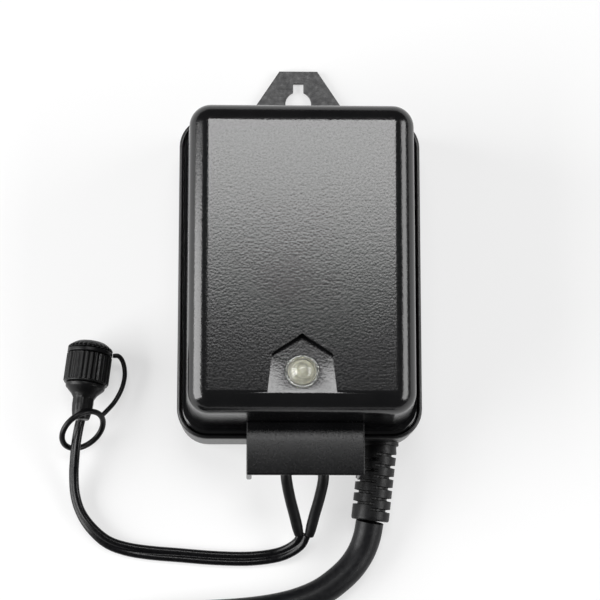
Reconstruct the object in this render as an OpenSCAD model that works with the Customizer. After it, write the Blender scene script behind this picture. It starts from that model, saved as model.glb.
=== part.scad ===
// Outdoor low-voltage power box with a light sensor, a two-screw terminal outlet
// and a mains lead, lying on its back. Millimetres, +Z out of the front face.
// The origin is at the middle of the back, half way between the tip of the
// hanging tab and the lip of the terminal hood.

/* [Case] */
// Width over the flange between the tray and the cover
flange_w = 92; // [88:1:100]
// Length over the flange
flange_l = 124; // [118:1:132]
// Corner radius of the flange
flange_r = 11.5; // [9:0.5:14]
// Depth of the whole case, back to front face
case_depth = 60; // [56:1:66]
// Thickness of the moulded walls
wall = 2.4; // [2:0.1:3]

/* [Front cover] */
// Width of the cover where it leaves the flange
cover_w = 85.4; // [82:0.2:86]
// Length of the cover where it leaves the flange
cover_l = 117.4; // [112:0.2:118]
// Radius of the rounded front edges
cover_edge = 8; // [6:0.5:10]
// Draft of the cover's walls, taken off each side at the front
cover_draft = 1.2; // [0.8:0.1:2]
// How far the cover sits towards the tab from the middle of the flange
cover_shift = 1.3; // [0:0.1:1.4]

/* [Hanging plate] */
// Distance from the flange to the tip of the tab
tab_reach = 24.75; // [20:0.25:30]
// Thickness of the steel plate
plate_t = 2; // [1.5:0.1:2.5]
// Diameter of the keyhole's round part
keyhole_d = 10.2; // [9:0.2:11]
// Width of the keyhole's slot
key_slot_w = 4.1; // [3.5:0.1:5]

/* [Light sensor] */
// Width of the house-shaped recess at its foot
recess_w = 25; // [22:0.5:28]
// Depth of the recess below its ridge
recess_depth = 4; // [3:0.5:6]
// Diameter of the clear lens dome
lens_d = 10.6; // [9:0.2:11]

/* [Terminals] */
// Width of the hood over the terminals
hood_w = 43.4; // [40:0.2:46]
// Distance that the hood stands out beyond the flange
hood_reach = 14.75; // [13:0.25:18]
// Distance between the two terminal screws
terminal_gap = 14; // [13:0.5:16]
// Diameter of the terminal screws' thread
terminal_screw_d = 4; // [3.5:0.1:4]

/* [Output lead] */
// Width of the flat two-core lead
lead_w = 5.4; // [5:0.1:6]
// Thickness of the flat two-core lead
lead_t = 2.8; // [2.4:0.1:3]
// Diameter of the shrink sleeves over the branches
sleeve_d = 4.2; // [4:0.1:4.4]

/* [Connector] */
// Diameter of the ribbed cap over its ribs
cap_d = 17.6; // [16.8:0.1:17.6]
// Diameter of the connector's threaded spigot
spigot_d = 13.2; // [12.6:0.1:13.4]
// Number of grip ribs round the cap
cap_ribs = 28; // [20:1:32]

/* [Mains cord] */
// Diameter of the rubber mains cord
cord_d = 10.6; // [9.6:0.1:10.8]
// Diameter of the stored coil at the middle of its turns
coil_d = 110; // [108:1:112]
// Diameter of the round plug body
plug_d = 38; // [36:0.5:39]

/* [Hidden] */
// Fine and coarse roundness of curved surfaces
$fn = 64;
hull_fn = 32;
// Small gaps: loose, close and running
loose = 0.3;
close_gap = 0.15;
running = 0.06;

// The case's middle, below the origin that the tab and the hood are centred on
case_y = (hood_reach - tab_reach) / 2;
cover_y = case_y + cover_shift;
tray_w = flange_w - 0.8;
tray_l = flange_l - 0.8;
tray_r = flange_r - 0.4;
ledge_w = 81.2;
ledge_l = 113.2;
ledge_r = 6.6;
ledge_z = 16.4;
rim_bottom = 17.6;
rim_floor = 19.6;
rim_top = 24.2;
rim_lip = 1.5;
cover_foot = 21.4;
cover_rim_top = 23.6;
gasket_t = cover_foot - rim_floor;
face_z = case_depth;
cover_r = 9;
lower_wall_y = cover_y - cover_l / 2;

// Hanging plate
tab_top_w = 15;
tab_slant_w = 54;
tongue_w = 44;
tongue_l = 30;
keyhole_y = case_y + flange_l / 2 + tab_reach - 13.1;
key_slot_top = keyhole_y + 8.2;
hanger_screw_x = 14;
hanger_screw_y = 32;

// Case screws
case_screw_x = 35.5;
case_screw_y = 51;
case_screw_r = 1.5;
boss_r = 3.6;

// Light sensor: the recess floor leans by the angle at which it runs out
recess_top_y = case_y - 27.7;
recess_foot_y = case_y - 49.5;
recess_run = recess_top_y - recess_foot_y;
recess_lean = atan(recess_depth / recess_run);
recess_floor_l = recess_run / cos(recess_lean);
shoulder_drop = 7.4;
shoulder_w = recess_w * 0.88;
lens_y = case_y - 41.4;
lens_z = face_z - (lens_y - recess_foot_y) * tan(recess_lean);
lens_seat_r = 6.4;
lens_seat_depth = 1.2;
lens_stem_r = 4;
lens_stem_l = 5;
recess_wall_h = 14;

// Board behind the sensor
board_z = 43.8;
board_t = 1.6;
board_w = 58;
board_l = 37;
board_y = -38;
board_post_x = 24.5;
board_post_y = 14;
board_post_r = 3;
board_top = board_z + board_t;
relay_z = board_z - 0.6;
relay_h = 15;

// Transformer, with its laminations parallel to the back
core_w = 66;
core_l = 55;
core_stack = 22;
core_y = 12;
core_z = 16;
leg_w = 22;
yoke_l = 11;
window_l = core_l - 2 * yoke_l;
former_t = 1.4;
former_h = 40;
former_w = 43;
former_low = core_y - window_l / 2 + 0.2;
former_high = core_y + window_l / 2 - 0.2;
tube_w = leg_w + 0.4;
tube_h = core_stack + 0.4;
core_mid_z = core_z + core_stack / 2;
saddle_l = 20;
saddle_t = 1.2;
saddle_foot_x = core_w / 2 + 4.4;
saddle_post_h = wall + 1.2;

// Terminals
hood_x = 1.8;
hood_top = 38.6;
hood_wall = 2;
mouth_half_w = 11.2;
mouth_low = 28.3;
mouth_high = 36.3;
hood_skirt_z = 19;
hood_end_y = case_y - flange_l / 2 - hood_reach;
hood_ramp_y = -69.5;
hood_ramp_drop = 1.2;
hood_lean = cover_draft * (hood_top - rim_top) / (face_z - cover_edge - cover_foot);
terminal_z = 32.2;
block_front_y = -69;
block_back_y = -58;
terminal_plate_t = 1;
lug_t = 0.8;
washer_t = 1;
lug_front_y = block_front_y - terminal_plate_t - lug_t;
washer_front_y = lug_front_y - washer_t;
screw_head_t = 2.6;
screw_head_r = 3.7;
barrel_z = 25.8;
barrel_r = 1.7;
barrel_end_y = -74.6;
screw_r = terminal_screw_d / 2;

// Branches of the output lead, from the lugs to where they join
left_branch = [[-5.2, -74.8, 25.8], [-5.2, -79, 25.6], [-4.8, -83, 23.6],
    [-3.4, -89, 18.4], [-1.6, -95, 13.2], [-0.3, -100, 9.8]];
right_branch = [[8.8, -74.8, 25.8], [8.8, -79, 25.6], [8.7, -83, 23.8],
    [7.4, -89, 18.8], [5.7, -95, 13.6], [4.3, -100.6, 9.8]];

// Flat lead, from the join to the connector's boot, with how far it is rolled on edge
lead_route = [[2, -101.4, 9.2], [0, -105, 6.6], [-5, -108, 3.8], [-11, -109.5, 2],
    [-20, -110.3, 1.5], [-32, -110, 1.5], [-45, -109, 1.5], [-57, -108, 1.6],
    [-66, -106.5, 1.8], [-73, -103.8, 2.2], [-79, -98.5, 2.6], [-83, -92.5, 2.8],
    [-85, -86, 3.6], [-85.4, -79, 6], [-85, -73, 8.8], [-84.4, -67.5, 10.9],
    [-83.6, -62.5, 11.6], [-82.9, -58.9, 11.4]];
lead_roll = [for (i = [0:len(lead_route) - 1]) -65 * min(1, max(0, (i - 6) / 5))];

// Connector: its mouth, its lean and the lengths along its axis
mouth_at = [-81.3, -44.9, 10.2];
connector_turn = [-95, 0, -6.5];
boot_end = -13.5;
cap_groove = 11.4;
cap_collar_t = 2;
cap_end = 17;
cavity_l = 11;
spigot_l = 10;
contact_r = 1.3;
thread_gap = 0.1;
tether_ring_at = [-82.1, -62.2, 10];
tether_ring_turn = [57, 0, 37.7];
tether_ring_r = 8.7;
tether_r = 1.1;
strap_route = [[-71.2, -33.6, 9.1], [-68.8, -33.8, 8.9], [-67.1, -36.5, 8.2],
    [-66.6, -41, 7.4], [-67.7, -46, 7], [-70.2, -51, 7.6], [-73, -54.6, 9],
    [-75.2, -57, 10]];

// Mains cord grip and cord
grip_x = 30.4;
grip_z = 9.8;
grip_d = 14.4;
grip_l = 29.4;
grip_collar_r = 7.6;
grip_slots = 11;
grip_pitch = 2.1;
grip_wall_y = case_y - tray_l / 2;
grip_barrel_y = case_y - flange_l / 2;
grip_turn = [90 + 4.1, 0, -6.6];
cord_z = cord_d / 2 + 0.1;
cord_route = [[27, -96.6, 7.7], [26, -102, 6.6], [24, -107.5, 5.6], [20.5, -113, cord_z],
    [15.5, -118, cord_z], [8.5, -123, cord_z], [0, -126.6, cord_z], [-10, -129, cord_z],
    [-22, -130.5, cord_z], [-38, -131.6, cord_z], [-54, -133.4, cord_z],
    [-70, -136.6, cord_z], [-84, -140.8, cord_z], [-96, -145.4, cord_z],
    [-106.6, -150.1, cord_z]];

// Stored coil: two turns side by side, two layers, and half a turn on top
coil_at = [-84, -206, 0];
coil_in_r = coil_d / 2 - cord_d;
coil_out_r = coil_d / 2 + cord_d;
coil_layers_h = 2 * cord_d + 0.2;
coil_top_h = coil_layers_h + 0.88 * cord_d;
tie_turn = 205;
tie_w = 12;
tie_t = 1.6;

// The cord's last stretch and the plug, both along one straight heading
tail_turn = 22;
tail_start = [-63.4, -257, 0];
tail_run = [[0, 25.4], [12, 26.4], [25, 27], [37, 25.8], [49, 22.8], [60, 20.2], [69.8, 19.3]];
tail_route = [for (step = tail_run)
    [tail_start[0] + step[0] * cos(tail_turn), tail_start[1] + step[0] * sin(tail_turn), step[1]]];
plug_at = [tail_start[0] + 70 * cos(tail_turn), tail_start[1] + 70 * sin(tail_turn), plug_d / 2 + 0.3];
plug_l = 46;
plug_pin_gap = 19;
plug_pin_d = 4.8;
plug_pin_l = 19;

// Conductors inside the case
wire_d = 2.2;
live_route = [[28.2, -61.4, 12.2], [25, -55, 12], [12, -52, 10], [-4, -50, 10], [-11, -46, 18.6],
    [-15, -43, 18.6]];
neutral_route = [[31, -61.4, 11.6], [28.8, -55, 11.6], [29, -47, 10.5], [33.5, -32, 10],
    [35.6, -14, 10], [34, -4, 10], [28, -1, 10], [23.5, 1.5, 10], [21.8, 4, 10]];
earth_route = [[29.4, -61.4, 8.2], [28.6, -55, 6.5], [31, -45, 5.2], [36, -30, 5], [37.8, -12, 5],
    [37.6, 1.8, 5]];
fused_route = [[-24.6, -43, 18.6], [-30, -40, 17], [-34.5, -30, 14], [-35.6, -14, 10],
    [-34, -4, 10], [-28, -1, 10], [-23.5, 1.5, 10], [-21.8, 4, 10]];
left_feed_route = [[-21.8, 20, 11.5], [-26, 19, 12], [-29.5, 10, 13.5], [-30, 3, 13.5],
    [-35.4, -3, 13.5], [-37, -14, 18], [-36.5, -24, 22], [-28, -46, 24], [-14, -53, 29],
    [-5.2, -57, 32.2]];
right_feed_route = [[21.8, 20, 11.5], [26, 19, 12], [29.5, 10, 13.5], [30, 3, 13.5],
    [35.4, -3, 13.5], [37, -14, 18], [36.5, -24, 22], [28, -46, 24], [17, -53, 29],
    [8.8, -57, 32.2]];
switch_route = [[-12, 0, 47.4], [-12, -3, 50], [-12, -10, 51.5], [-13, -18, 51], [-14, -22.6, 49],
    [-14, -24, 46]];
board_route = [[12, 0, 47.4], [12, -3, 50], [12, -10, 51.5], [13, -18, 51], [14, -22.6, 49],
    [14, -24, 46]];

// ---- Shared shapes ----

// Places its children about the middle of the case
module at_case() {
    translate([0, case_y, 0]) children();
}

// Places its children about the middle of the cover
module at_cover() {
    translate([0, cover_y, 0]) children();
}

// Flat plate with round corners, standing on z = 0
module rounded_plate(w, l, r, h) {
    linear_extrude(h) {
        square([w - 2 * r, l], center = true);
        square([w, l - 2 * r], center = true);
        at_corners(w / 2 - r, l / 2 - r) circle(r);
    }
}

// Copies a child to the four corners of a rectangle
module at_corners(x, y) {
    for (sx = [-1, 1], sy = [-1, 1]) translate([sx * x, sy * y]) children();
}

// Copies a child to x and to -x
module both_sides(x) {
    for (side = [-1, 1]) translate([side * x, 0, 0]) children();
}

// Box from its lowest to its highest corner
module block(low, high) {
    translate(low) cube(high - low);
}

// Straight rod along +Y from a point
module rod_y(at, r, l) {
    translate(at) rotate([-90, 0, 0]) cylinder(r = r, h = l);
}

function unit(v) = v / norm(v);

// Direction of a route at one of its points
function heading(route, i) = unit(route[min(i + 1, len(route) - 1)] - route[max(i - 1, 0)]);

// Ring of points round a route, wide along its side and high towards ref, then rolled
function ring_points(route, i, wide, high, sides, ref, roll) =
    let (t = heading(route, i), side = unit(cross(t, ref)), up = cross(side, t),
        s = side * cos(roll) + up * sin(roll), u = up * cos(roll) - side * sin(roll))
    [for (k = [0:sides - 1])
        route[i] + s * wide * cos(360 * k / sides) + u * high * sin(360 * k / sides)];

// Closed tube swept along a route, with an oval section
module swept_tube(route, wide, high, sides = 8, ref = [0, 0, 1], rolls = []) {
    n = len(route);
    points = [for (i = [0:n - 1])
        each ring_points(route, i, wide, high, sides, ref, len(rolls) == n ? rolls[i] : 0)];
    first_cap = [for (k = [sides - 1:-1:0]) k];
    last_cap = [for (k = [0:sides - 1]) (n - 1) * sides + k];
    walls = [for (i = [0:n - 2], k = [0:sides - 1])
        let (next = (k + 1) % sides, here = i * sides, there = (i + 1) * sides)
        each [[here + k, here + next, there + k], [here + next, there + next, there + k]]];
    polyhedron(points, concat([first_cap, last_cap], walls), convexity = 6);
}

// Cross-recessed pan-head screw, head down at z = 0 and thread upwards
module pan_screw(shank_r, shank_l, head_r, head_t) {
    difference() {
        union() {
            cylinder(r = shank_r, h = shank_l);
            translate([0, 0, -head_t]) cylinder(r1 = head_r * 0.72, r2 = head_r, h = head_t);
        }
        for (turn = [0, 90]) {
            translate([0, 0, -head_t]) rotate(turn)
                cube([head_r * 1.1, head_r * 0.26, head_t], center = true);
        }
    }
}

// ---- Case ----

// Outer or inner form of the cover: straight foot and rounded front edges
module cover_form(inset) {
    r = cover_edge - inset / 2;
    foot_w = cover_w - 2 * inset;
    foot_l = cover_l - 2 * inset;
    hull() {
        translate([0, 0, cover_foot])
            rounded_plate(foot_w, foot_l, cover_r - inset / 2, 1, $fn = hull_fn);
        translate([0, 0, face_z - inset - r])
            at_corners(foot_w / 2 - cover_draft - r, foot_l / 2 - cover_draft - r)
                sphere(r, $fn = hull_fn);
    }
}

// Places its children on the leaning floor of the sensor recess, under the ridge
module at_recess() {
    translate([0, recess_foot_y, face_z]) rotate([-recess_lean, 0, 0]) children();
}

// House-shaped outline of the sensor recess, standing on its foot
module recess_outline(grow = 0) {
    half = recess_w / 2 + grow;
    shoulder = shoulder_w / 2 + grow;
    polygon([[-half, -grow], [half, -grow], [shoulder, recess_floor_l - shoulder_drop],
        [0, recess_floor_l + grow], [-shoulder, recess_floor_l - shoulder_drop]]);
}

// Hollow of the recess, with upright walls over its leaning floor
module recess_cut() {
    hull() for (z = [0, 12]) translate([0, 0, z])
        at_recess() linear_extrude(0.01) recess_outline();
}

// Places its children at the lens, looking out along its axis
module at_lens() {
    translate([0, lens_y, lens_z]) rotate([-recess_lean, 0, 0]) children();
}

module front_cover() {
    color("#17181a") difference() {
        union() {
            at_cover() difference() {
                cover_form(0);
                translate([0, 0, -0.01]) cover_form(wall);
            }
            cover_rim();
            cover_bosses();
            intersection() {
                at_cover() cover_form(wall / 2);
                at_recess() translate([0, 0, -wall]) linear_extrude(recess_wall_h)
                    recess_outline(wall);
            }
        }
        recess_cut();
        at_lens() translate([0, 0, -lens_seat_depth]) cylinder(r = lens_seat_r, h = 20);
        at_lens() translate([0, 0, -8]) cylinder(r = lens_stem_r + close_gap, h = 20);
        block([hood_x - mouth_half_w, lower_wall_y - 4, mouth_low],
            [hood_x + mouth_half_w, lower_wall_y + 6, mouth_high]);
        at_case() at_corners(case_screw_x, case_screw_y)
            cylinder(r = case_screw_r + running, h = 40);
    }
}

// Flat rim of the cover, which sits inside the tray's upstand
module cover_rim() {
    edge = rim_lip + loose;
    translate([0, 0, cover_foot]) difference() {
        at_case() rounded_plate(flange_w - 2 * edge, flange_l - 2 * edge, flange_r - edge,
            cover_rim_top - cover_foot);
        at_cover() translate([0, 0, -1])
            rounded_plate(cover_w - 2 * wall, cover_l - 2 * wall, cover_r - wall, 10);
    }
}

// Screw bosses at the corners and board posts, hanging from the cover's face
module cover_bosses() {
    at_case() at_corners(case_screw_x, case_screw_y)
        translate([0, 0, cover_foot]) cylinder(r = boss_r, h = face_z - cover_foot - 5);
    translate([0, board_y, 0]) at_corners(board_post_x, board_post_y)
        translate([0, 0, board_top]) difference() {
            cylinder(r = board_post_r, h = face_z - board_top - 1);
            translate([0, 0, -1]) cylinder(r = 1.2 + running, h = 8);
        }
}

module rear_tray() {
    color("#1b1c1e") difference() {
        union() {
            at_case() difference() {
                union() {
                    rounded_plate(tray_w, tray_l, tray_r, rim_bottom + 1);
                    translate([0, 0, rim_bottom])
                        rounded_plate(flange_w, flange_l, flange_r, rim_top - rim_bottom);
                }
                translate([0, 0, wall])
                    rounded_plate(tray_w - 2 * wall, tray_l - 2 * wall, tray_r - wall,
                        ledge_z - wall);
                translate([0, 0, ledge_z - 1]) rounded_plate(ledge_w, ledge_l, ledge_r, 10);
                translate([0, 0, rim_floor])
                    rounded_plate(flange_w - 2 * rim_lip, flange_l - 2 * rim_lip,
                        flange_r - rim_lip, 10);
            }
            at_case() at_corners(case_screw_x, case_screw_y)
                cylinder(r = boss_r, h = cover_foot - close_gap);
            translate([0, core_y, 0]) at_corners(core_w / 2 - 4, core_l / 2 - 4)
                cylinder(r = 4, h = core_z);
            both_sides(saddle_foot_x) translate([0, core_y, 0])
                cylinder(r = 3, h = saddle_post_h);
            translate([0, hanger_screw_y, 0]) both_sides(hanger_screw_x)
                cylinder(r = 3.6, h = wall + 4);
        }
        hanger_pocket();
        translate([0, hanger_screw_y, -1]) both_sides(hanger_screw_x)
            cylinder(r = 1.5 + running, h = 6.5);
        at_case() at_corners(case_screw_x, case_screw_y) {
            translate([0, 0, -1]) cylinder(r = case_screw_r + running, h = 40);
            translate([0, 0, -1]) cylinder(r = 3.3, h = 3.2);
        }
        both_sides(saddle_foot_x) translate([0, core_y, 1])
            cylinder(r = 1.2 + running, h = 10);
        rod_y([grip_x, grip_wall_y - 3, grip_z], 5.4 + close_gap, 8);
    }
}

// Shallow pocket in the back of the tray that takes the hanging plate
module hanger_pocket() {
    top_y = case_y + flange_l / 2 + 1;
    block([-tongue_w / 2 - close_gap, hanger_screw_y - 8 - close_gap, -1],
        [tongue_w / 2 + close_gap, top_y, plate_t + close_gap]);
    translate([0, 0, -1]) linear_extrude(plate_t + close_gap + 1)
        polygon([[-tab_slant_w / 2 - 0.6, top_y], [tab_slant_w / 2 + 0.6, top_y],
            [tab_slant_w / 2 + 0.6, top_y - 7], [-tab_slant_w / 2 - 0.6, top_y - 7]]);
}

module case_gasket() {
    color("#2a2a2c") at_case() translate([0, 0, rim_floor]) difference() {
        rounded_plate(flange_w - 2 * rim_lip - 1.2, flange_l - 2 * rim_lip - 1.2,
            flange_r - rim_lip - 0.6, gasket_t);
        translate([0, 0, -1]) rounded_plate(cover_w, cover_l, cover_r, 10);
    }
}

module case_screws() {
    color("#8d8f92") at_case() at_corners(case_screw_x, case_screw_y)
        translate([0, 0, 2.2]) pan_screw(case_screw_r, 34, 3, 2);
}

// ---- Hanging plate ----

module hanger_plate() {
    root_y = case_y + flange_l / 2 - 5;
    tip_y = case_y + flange_l / 2 + tab_reach;
    color("#4a4b4d") difference() {
        linear_extrude(plate_t) {
            polygon([[-tab_slant_w / 2, root_y], [tab_slant_w / 2, root_y],
                [tab_top_w / 2, tip_y], [-tab_top_w / 2, tip_y]]);
            translate([-tongue_w / 2, hanger_screw_y - 8])
                square([tongue_w, root_y - hanger_screw_y + 8.5]);
        }
        translate([0, keyhole_y, -1]) cylinder(d = keyhole_d, h = 10);
        block([-key_slot_w / 2, keyhole_y, -1], [key_slot_w / 2, key_slot_top, 10]);
        translate([0, hanger_screw_y, -1]) both_sides(hanger_screw_x)
            cylinder(r = 1.7, h = 10);
        translate([0, hanger_screw_y, -1]) both_sides(hanger_screw_x)
            cylinder(r = 2.9, h = 2.2);
    }
}

module hanger_screws() {
    color("#8d8f92") translate([0, hanger_screw_y, 1.2]) both_sides(hanger_screw_x)
        pan_screw(1.5, 4, 2.7, 1);
}

// ---- Light sensor and its board ----

module sensor_lens() {
    color("#e8ece8", 0.6) at_lens() {
        translate([0, 0, -lens_seat_depth + 0.3]) cylinder(r = lens_seat_r - close_gap, h = 1);
        difference() {
            translate([0, 0, 0.1]) sphere(d = lens_d);
            translate([0, 0, -10]) cylinder(r = 10, h = 10.1);
        }
        translate([0, 0, -lens_stem_l]) cylinder(r = lens_stem_r, h = lens_stem_l);
    }
}

module lens_seal() {
    color("#2a2a2c") at_lens() translate([0, 0, -lens_seat_depth]) difference() {
        cylinder(r = lens_seat_r - 0.2, h = 0.3);
        translate([0, 0, -1]) cylinder(r = lens_stem_r + close_gap, h = 3);
    }
}

module lens_clip() {
    color("#b9bcc0") at_lens() translate([0, 0, -4.4]) difference() {
        cylinder(r = 6, h = 0.6);
        translate([0, 0, -1]) cylinder(r = lens_stem_r + running, h = 3);
    }
}

module light_cell() {
    color("#c98a3a") translate([0, lens_y, board_top]) {
        translate([0, 0, 3]) cylinder(r = 2.5, h = 1.8);
        both_sides(1.3) cylinder(r = 0.3, h = 3.2, $fn = 16);
    }
}

module sensor_board() {
    color("#2f6b3c") translate([0, board_y, board_z]) difference() {
        translate([-board_w / 2, -board_l / 2, 0]) cube([board_w, board_l, board_t]);
        translate([0, 0, -1]) at_corners(board_post_x, board_post_y)
            cylinder(r = 1.4, h = 10);
    }
}

module relay() {
    color("#2c4f86") {
        block([-20, -41, relay_z - relay_h], [-1, -26, relay_z]);
        for (x = [-18, -10.5, -3], y = [-39, -28])
            translate([x, y, relay_z]) cylinder(r = 0.5, h = 0.6, $fn = 16);
    }
}

module capacitor() {
    color("#23324d") translate([12, -33, board_z - 16]) cylinder(r = 5, h = 16);
}

module board_parts() {
    color("#b08a5a") {
        for (i = [0:3])
            rod_y([16 + i * 3.4, -46, board_top + 1.1], 1.1, 6.5);
        for (i = [0:1])
            rod_y([-20 + i * 4, -46, board_top + 1.4], 1.4, 5.2);
        block([-22, -34, board_top], [-17.4, -30, board_top + 4.6]);
    }
}

module board_screws() {
    color("#8d8f92") translate([0, board_y, board_z]) at_corners(board_post_x, board_post_y)
        pan_screw(1.2, 6.4, 2.5, 1.8);
}

// ---- Transformer ----

module transformer_core() {
    leg_x = leg_w / 2;
    color("#54575c") translate([0, core_y, core_z]) difference() {
        translate([-core_w / 2, -core_l / 2, 0]) cube([core_w, core_l, core_stack]);
        for (side = [-1, 1])
            translate([side * (leg_x + yoke_l / 2), 0, core_stack / 2])
                cube([yoke_l, window_l, core_stack + 2], center = true);
    }
}

// Rectangular ring about the centre leg, between two places along the case
module leg_ring(y_low, y_high, outer_w, outer_h, hole_w, hole_h) {
    translate([0, (y_low + y_high) / 2, core_mid_z]) difference() {
        cube([outer_w, y_high - y_low, outer_h], center = true);
        cube([hole_w, y_high - y_low + 2, hole_h], center = true);
    }
}

module winding_former() {
    color("#d9d2bf") {
        leg_ring(former_low, former_high, tube_w + 2 * former_t, tube_h + 2 * former_t,
            tube_w, tube_h);
        for (y = [former_low, core_y - former_t / 2, former_high - former_t])
            leg_ring(y, y + former_t, former_w, former_h, tube_w, tube_h);
    }
}

// Winding between two flanges of the former
module winding(y_low, y_high) {
    leg_ring(y_low + 0.1, y_high - 0.1, former_w - 1.6, former_h - 2,
        tube_w + 2 * former_t + 0.2, tube_h + 2 * former_t + 0.2);
}

module primary_winding() {
    color("#b5651d") winding(former_low + former_t, core_y - former_t / 2);
}

module secondary_winding() {
    color("#c8843a") winding(core_y + former_t / 2, former_high - former_t);
}

// Two bent straps, each gripping one side of the core, with a foot on the tray's post
module transformer_saddle() {
    half_l = saddle_l / 2;
    in_x = core_w / 2 + 0.1;
    out_x = in_x + saddle_t;
    top_z = core_z + core_stack + 0.1;
    color("#a9adb2") translate([0, core_y, 0]) for (side = [0, 1])
        mirror([side, 0, 0]) difference() {
            union() {
                block([in_x, -half_l, saddle_post_h], [out_x, half_l, top_z + saddle_t]);
                block([in_x - 7, -half_l, top_z], [out_x, half_l, top_z + saddle_t]);
                block([in_x, -half_l, saddle_post_h], [in_x + 7.2, half_l, saddle_post_h + saddle_t]);
            }
            translate([saddle_foot_x, 0, 0]) cylinder(r = 1.5, h = 10);
        }
}

module transformer_screws() {
    head_z = saddle_post_h + saddle_t;
    color("#8d8f92") both_sides(saddle_foot_x) translate([0, core_y, head_z])
        rotate([180, 0, 0]) pan_screw(1.2, 3.4, 2.4, 1.6);
}

module overload_cutout() {
    color("#3a3a3d") {
        block([-26, -50, wall], [-13, -37, 16]);
        for (x = [-24, -16])
            block([x, -45.5, 16], [x + 0.8, -40.5, 17.2]);
    }
}

// ---- Conductors inside the case ----

module wire(route, ref = [0, 0, 1]) {
    swept_tube(route, wire_d / 2, wire_d / 2, 8, ref);
}

module mains_wires() {
    color("#7a4a2a") wire(live_route);
    color("#2f5fa8") wire(neutral_route);
    color("#6fa83a") wire(earth_route);
    color("#7a4a2a") wire(fused_route);
}

module outlet_wires() {
    color("#c43a32") wire(left_feed_route);
    color("#202022") wire(right_feed_route);
}

module switch_wires() {
    color("#d9c34a") wire(switch_route, [1, 0, 0]);
    color("#e6e6e2") wire(board_route, [1, 0, 0]);
}

// ---- Terminals ----

// Copies its children to the two terminals
module at_terminals() {
    for (side = [-1, 1]) translate([hood_x + side * terminal_gap / 2, 0, 0]) children();
}

module terminal_block() {
    color("#222325") difference() {
        union() {
            block([hood_x - 15, block_front_y, 26], [hood_x + 15, lower_wall_y - 0.3, 36.4]);
            block([hood_x - mouth_half_w + 0.2, lower_wall_y - 0.4, mouth_low + 0.2],
                [hood_x + mouth_half_w - 0.2, block_back_y, mouth_high - 0.2]);
            block([hood_x - 0.8, block_front_y - 7, 26], [hood_x + 0.8, block_front_y, 36.4]);
        }
        at_terminals() rod_y([0, block_front_y - 1, terminal_z], screw_r + running, 9);
    }
}

// Hood open at its end and below; its top slopes down to the cover's leaning wall
module terminal_hood() {
    half = hood_w / 2;
    back_y = lower_wall_y - close_gap;
    skirt_y = case_y - flange_l / 2 - loose;
    color("#1d1e20") translate([hood_x, 0, 0]) difference() {
        rotate([90, 0, 90]) translate([0, 0, -half]) linear_extrude(hood_w)
            polygon([[hood_end_y, hood_skirt_z], [skirt_y, hood_skirt_z], [skirt_y, rim_top + 0.2],
                [back_y, rim_top + 0.2], [back_y + hood_lean, hood_top - hood_ramp_drop],
                [hood_ramp_y, hood_top], [hood_end_y, hood_top]]);
        block([-half + hood_wall, hood_end_y - 1, hood_skirt_z - 1],
            [half - hood_wall, back_y + 2, hood_top - hood_wall]);
    }
}

module terminal_plates() {
    color("#c9a24a") at_terminals() difference() {
        block([-4.5, block_front_y - terminal_plate_t, terminal_z - 4],
            [4.5, block_front_y, terminal_z + 4]);
        rod_y([0, block_front_y - 2, terminal_z], screw_r + running, 4);
    }
}

module wire_lugs() {
    lug_back_y = block_front_y - terminal_plate_t;
    color("#c7c9cc") at_terminals() difference() {
        union() {
            rod_y([0, lug_front_y, terminal_z], 4, lug_t);
            block([-2.2, lug_front_y, barrel_z - barrel_r], [2.2, lug_back_y, terminal_z]);
            rod_y([0, barrel_end_y, barrel_z], barrel_r, lug_front_y - barrel_end_y + 0.2);
        }
        rod_y([0, lug_front_y - 1, terminal_z], screw_r + 0.15, 4);
    }
}

module terminal_washer() {
    difference() {
        rod_y([0, washer_front_y, terminal_z], 4, washer_t);
        rod_y([0, washer_front_y - 1, terminal_z], screw_r + 0.15, 4);
    }
}

module terminal_screw() {
    translate([0, washer_front_y, terminal_z]) rotate([-90, 0, 0])
        pan_screw(screw_r, 9.6, screw_head_r, screw_head_t);
}

module washer_left() {
    color("#c7c9cc") translate([hood_x - terminal_gap / 2, 0, 0]) terminal_washer();
}

module washer_right() {
    color("#c7c9cc") translate([hood_x + terminal_gap / 2, 0, 0]) terminal_washer();
}

module screw_left() {
    color("#9fa3a8") translate([hood_x - terminal_gap / 2, 0, 0]) terminal_screw();
}

module screw_right() {
    color("#9fa3a8") translate([hood_x + terminal_gap / 2, 0, 0]) terminal_screw();
}

// ---- Output lead and connector ----

module sleeve_left() {
    color("#1f1f21") swept_tube(left_branch, sleeve_d / 2, sleeve_d / 2);
}

module sleeve_right() {
    color("#1f1f21") swept_tube(right_branch, sleeve_d / 2, sleeve_d / 2);
}

module output_lead() {
    color("#141415") swept_tube(lead_route, lead_w / 2, lead_t / 2, rolls = lead_roll);
}

// Places its children on the connector's axis, with the cap's mouth at z = 0
module at_connector() {
    translate(mouth_at) rotate(connector_turn) children();
}

module connector_body() {
    neck_r = 4.1;
    color("#18191a") at_connector() difference() {
        rotate_extrude() polygon([[0, boot_end], [3, boot_end], [3.2, -11], [3.8, -10.6],
            [neck_r, -8], [neck_r, -5.5], [5.4, -3.6], [7.4, -1.6], [7.6, -0.2],
            [spigot_d / 2, -0.2], [spigot_d / 2, 1], [5.8, 1], [5.8, 2.4],
            [spigot_d / 2, 2.4], [spigot_d / 2, spigot_l], [0, spigot_l]]);
        both_sides(2.6) translate([0, 0, 3]) cylinder(r = contact_r + running, h = 10);
    }
}

module connector_contacts() {
    color("#c9a24a") at_connector() both_sides(2.6) translate([0, 0, 3.1]) difference() {
        cylinder(r = contact_r, h = spigot_l - 3.2);
        translate([0, 0, 1]) cylinder(r = 0.8, h = spigot_l);
    }
}

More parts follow.
